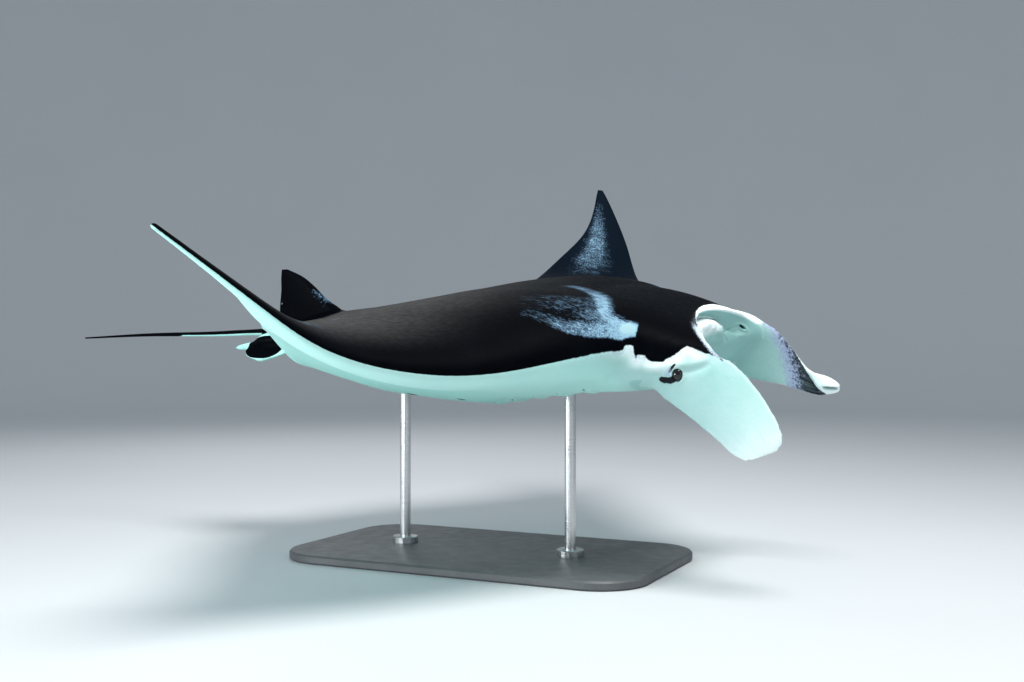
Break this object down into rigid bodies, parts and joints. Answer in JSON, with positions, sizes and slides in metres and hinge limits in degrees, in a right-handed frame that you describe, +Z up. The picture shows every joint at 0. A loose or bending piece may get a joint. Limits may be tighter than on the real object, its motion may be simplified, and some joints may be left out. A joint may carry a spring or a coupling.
{
  "type": "reef manta ray model",
  "caption": "Still life-size reef manta ray, wings raised and banked a little, one head fin spread and one rolled at its tip, held over the floor by a flat base and rods.",
  "frame": {"origin": "middle of the stand base's underside", "axes": "+X towards the animal's snout, +Y to its left, +Z up"},
  "size_m": [2.9786, 2.8713, 1.4249],
  "materials": {
    "manta_skin": "smooth wet satin, black back with pale shoulder patches, white belly",
    "eye": "wet gloss, near black",
    "stand_base_paint": "fine textured satin paint",
    "stand_rod_steel": "brushed"
  },
  "bodies": {
    "root": {"head": "manta_skin", "cephalic_fin_right": "manta_skin", "cephalic_fin_left": "manta_skin", "dorsal_fin": "manta_skin", "trunk": "manta_skin", "pectoral_right_inner": "manta_skin", "pectoral_right_outer": "manta_skin", "pectoral_left_inner": "manta_skin", "pectoral_left_outer": "manta_skin", "pelvic_fin_right": "manta_skin", "pelvic_fin_left": "manta_skin", "tail_base": "manta_skin", "tail_middle": "manta_skin", "tail_tip": "manta_skin", "eye_right": "eye", "eye_left": "eye", "stand_base": "stand_base_paint", "stand_rod_front": "stand_rod_steel", "stand_rod_rear": "stand_rod_steel"}
  },
  "joints": []
}
